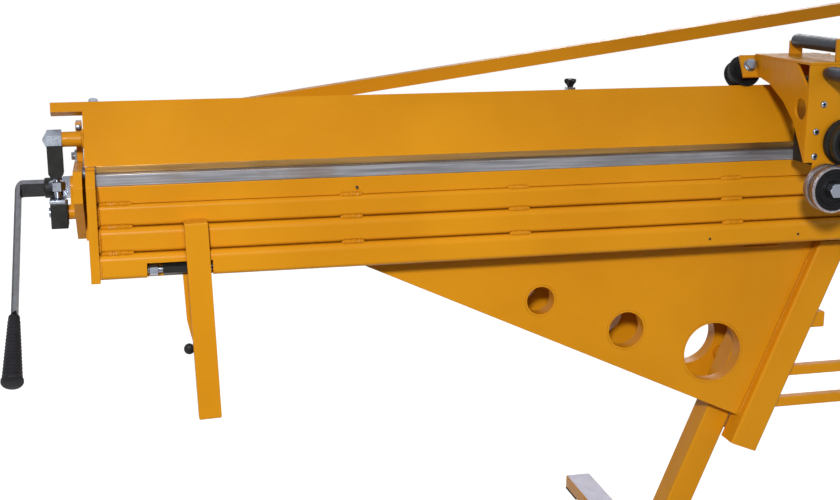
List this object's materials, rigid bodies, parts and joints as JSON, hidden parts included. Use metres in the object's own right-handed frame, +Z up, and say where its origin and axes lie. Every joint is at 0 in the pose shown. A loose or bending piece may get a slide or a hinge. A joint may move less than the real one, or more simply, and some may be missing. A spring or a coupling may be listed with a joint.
{
  "type": "sheet metal folding machine",
  "caption": "Long manual sheet metal folder on a two-legged stand, with swinging apron, crank-lifted clamping beam, stay truss and a roller cutter carriage.",
  "frame": {"origin": "on the floor under the middle of the machine, midway between the feet", "axes": "+X along the beams to the operator's right, +Y away from the operator, +Z up"},
  "size_m": [3.519, 0.866, 1.1784],
  "materials": {
    "yellow_powder_coat": "golden orange-yellow powder coat, semi-gloss",
    "black_paint": "black oxide or satin black paint",
    "zinc_plate": "bright zinc plate",
    "bare_steel": "ground bare steel",
    "dark_steel": "dark oiled bare steel",
    "black_rubber": "black ribbed rubber",
    "black_plastic": "black moulded plastic",
    "cutter_steel": "hardened blackened steel with a bright rim"
  },
  "bodies": {
    "base": {"base_beam": "yellow_powder_coat", "beam_ribs": "yellow_powder_coat", "base_tool_bar": "bare_steel", "base_end_plates": "yellow_powder_coat", "guide_posts": "yellow_powder_coat", "guide_strips": "bare_steel", "columns": "yellow_powder_coat", "gusset_plates": "yellow_powder_coat", "gusset_collars": "yellow_powder_coat", "legs": "yellow_powder_coat", "leg_spacers": "yellow_powder_coat", "foot_bars": "yellow_powder_coat", "foot_pads": "black_rubber", "frame_bolts": "zinc_plate", "cross_bars": "yellow_powder_coat"},
    "clamping_beam": {"nose_bar": "dark_steel", "clamp_front_plate": "yellow_powder_coat", "clamp_top_bar": "yellow_powder_coat", "clamp_bottom_plate": "yellow_powder_coat", "clamp_rear_plate": "yellow_powder_coat", "clamp_end_plates": "yellow_powder_coat", "clamp_arms": "yellow_powder_coat", "link_bodies": "black_paint", "link_hardware": "zinc_plate", "yoke_blocks": "black_paint", "truss": "yellow_powder_coat", "knob_posts": "zinc_plate"},
    "crank": {"crank_shaft": "bare_steel", "crank_webs": "yellow_powder_coat", "crank_pins": "zinc_plate", "shaft_nuts": "zinc_plate", "crank_levers": "black_paint", "lever_grips": "black_rubber"},
    "apron": {"apron_strip": "bare_steel", "apron_plate_a": "yellow_powder_coat", "apron_plate_b": "yellow_powder_coat", "apron_plate_c": "yellow_powder_coat", "apron_plate_d": "yellow_powder_coat", "apron_end_plates": "yellow_powder_coat", "apron_pivot_pins": "bare_steel", "apron_handles": "yellow_powder_coat", "handle_backings": "yellow_powder_coat", "handle_knobs": "black_plastic", "tension_rods": "zinc_plate"},
    "carriage": {"carriage_sides": "yellow_powder_coat", "carriage_front_plate": "yellow_powder_coat", "axle_block": "black_paint", "guide_shoe": "black_plastic", "wheel_plate": "yellow_powder_coat", "carriage_roof": "yellow_powder_coat", "carriage_axles": "zinc_plate", "carriage_screws": "zinc_plate", "carriage_grips": "black_rubber"},
    "upper_cutter_roll": {"upper_cutter": "cutter_steel"},
    "lower_cutter_roll": {"lower_cutter": "cutter_steel"},
    "wheel_left": {"guide_wheel_left": "black_plastic"},
    "wheel_right": {"guide_wheel_right": "black_plastic"},
    "knob_left": {"star_knob_left": "black_plastic"},
    "knob_right": {"star_knob_right": "black_plastic"}
  },
  "joints": [
    {"name": "clamp_lift", "type": "slide", "parent": "base", "child": "clamping_beam", "axis": [0, 0, 1], "range_m": [0, 0.07]},
    {"name": "crank_turn", "type": "hinge", "parent": "base", "child": "crank", "pos_m": [0, 0, 0.8645], "axis": [-1, 0, 0], "range_deg": [0, 90]},
    {"name": "apron_swing", "type": "hinge", "parent": "base", "child": "apron", "pos_m": [0, -0.081, 0.9], "axis": [-1, 0, 0], "range_deg": [0, 38]},
    {"name": "carriage_travel", "type": "slide", "parent": "clamping_beam", "child": "carriage", "axis": [1, 0, 0], "range_m": [-1.19, 1.78]},
    {"name": "upper_cutter_spin", "type": "hinge", "parent": "carriage", "child": "upper_cutter_roll", "pos_m": [-0.29, -0.251, 0.934], "axis": [0, 1, 0], "continuous": true},
    {"name": "lower_cutter_spin", "type": "hinge", "parent": "carriage", "child": "lower_cutter_roll", "pos_m": [-0.322, -0.251, 0.852], "axis": [0, 1, 0], "continuous": true},
    {"name": "left_wheel_spin", "type": "hinge", "parent": "carriage", "child": "wheel_left", "pos_m": [-0.377, 0.00099, 1.03652], "axis": [0, 0.866, -0.5], "continuous": true},
    {"name": "right_wheel_spin", "type": "hinge", "parent": "carriage", "child": "wheel_right", "pos_m": [-0.217, 0.00099, 1.03652], "axis": [0, 0.866, -0.5], "continuous": true},
    {"name": "left_knob_turn", "type": "hinge", "parent": "clamping_beam", "child": "knob_left", "pos_m": [-0.72, 0.028, 1.02], "axis": [0, 0, 1], "continuous": true},
    {"name": "right_knob_turn", "type": "hinge", "parent": "clamping_beam", "child": "knob_right", "pos_m": [0.72, 0.028, 1.02], "axis": [0, 0, 1], "continuous": true}
  ],
  "couplings": [
    {"joint": "crank_turn", "follows": "clamp_lift", "rad_per_m": 22.3},
    {"joint": "upper_cutter_spin", "follows": "carriage_travel", "rad_per_m": 24.39},
    {"joint": "lower_cutter_spin", "follows": "carriage_travel", "rad_per_m": -23.53},
    {"joint": "left_wheel_spin", "follows": "carriage_travel", "rad_per_m": 35.088},
    {"joint": "right_wheel_spin", "follows": "carriage_travel", "rad_per_m": 35.088}
  ]
}
